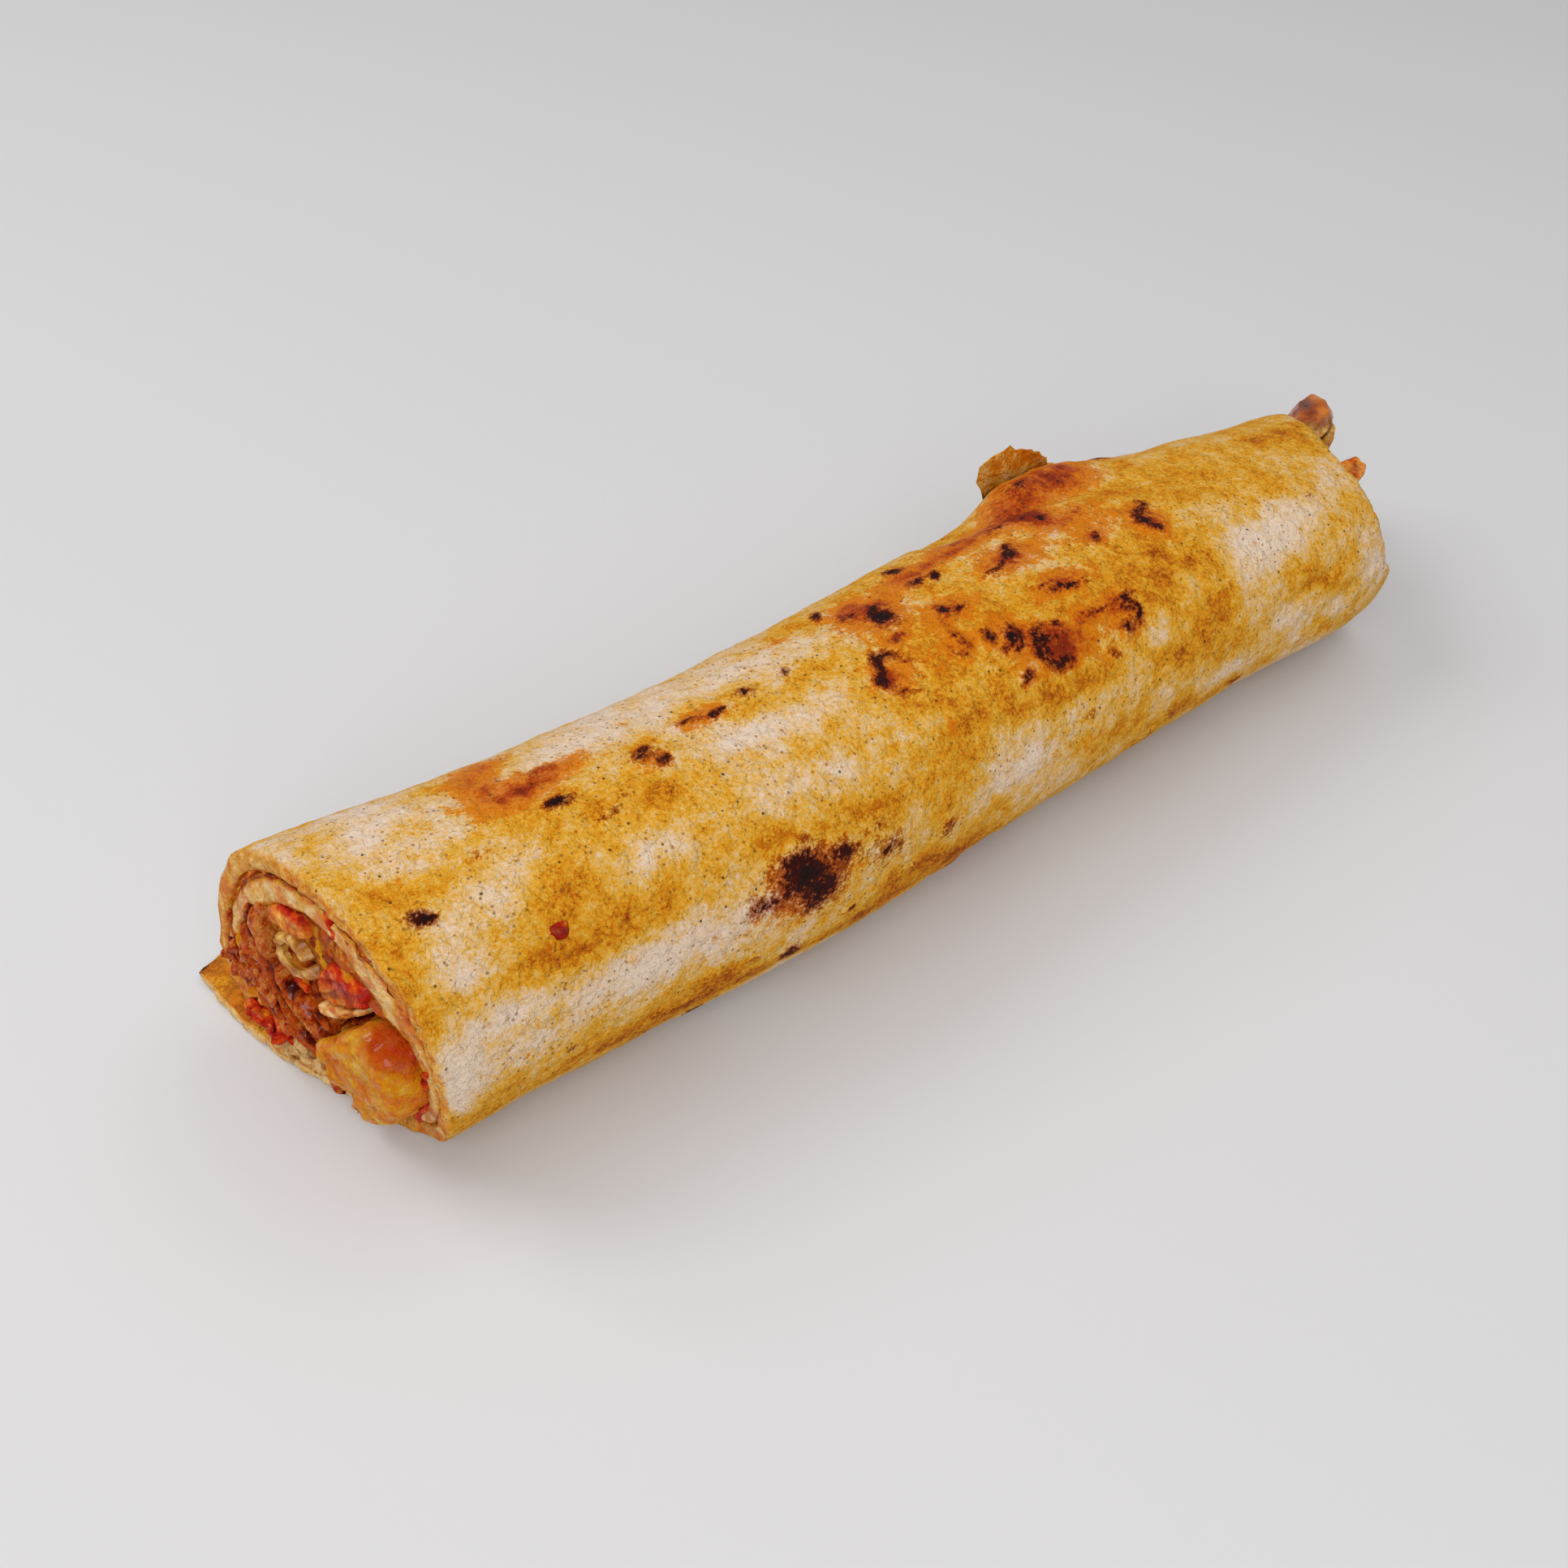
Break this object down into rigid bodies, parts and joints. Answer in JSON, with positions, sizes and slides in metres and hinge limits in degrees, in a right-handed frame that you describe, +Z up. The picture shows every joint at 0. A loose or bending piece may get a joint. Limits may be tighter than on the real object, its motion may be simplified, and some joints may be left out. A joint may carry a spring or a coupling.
{
  "type": "chicken doner wrap",
  "caption": "Toasted flatbread rolled round chicken, sliced meat, tomato, onion and roasted pepper, cut across at one end, lying on its side.",
  "frame": {"origin": "middle of the wrap's bounding box at the level of its foot", "axes": "+X along the wrap from the cut end to the open end, +Y towards the lap at the back, +Z up"},
  "size_m": [0.2802, 0.0768, 0.051],
  "materials": {
    "bread": "dry toasted flatbread, floury with golden and charred spots",
    "chicken": "moist orange-glazed chicken",
    "meat": "moist brown-pink sliced meat",
    "tomato": "wet red tomato and sauce",
    "onion": "soft pale onion",
    "pepper": "oily roasted pepper with a dark skin"
  },
  "bodies": {
    "root": {"flatbread": "bread", "chicken_chunk": "chicken", "chicken_strip_top": "meat", "meat_strip_upper": "meat", "meat_strip_back": "meat", "meat_strip_low": "meat", "meat_piece_front": "meat", "tomato_wedge": "tomato", "tomato_slice": "tomato", "tomato_low": "tomato", "onion_strip": "onion", "roasted_pepper": "pepper"}
  },
  "joints": []
}
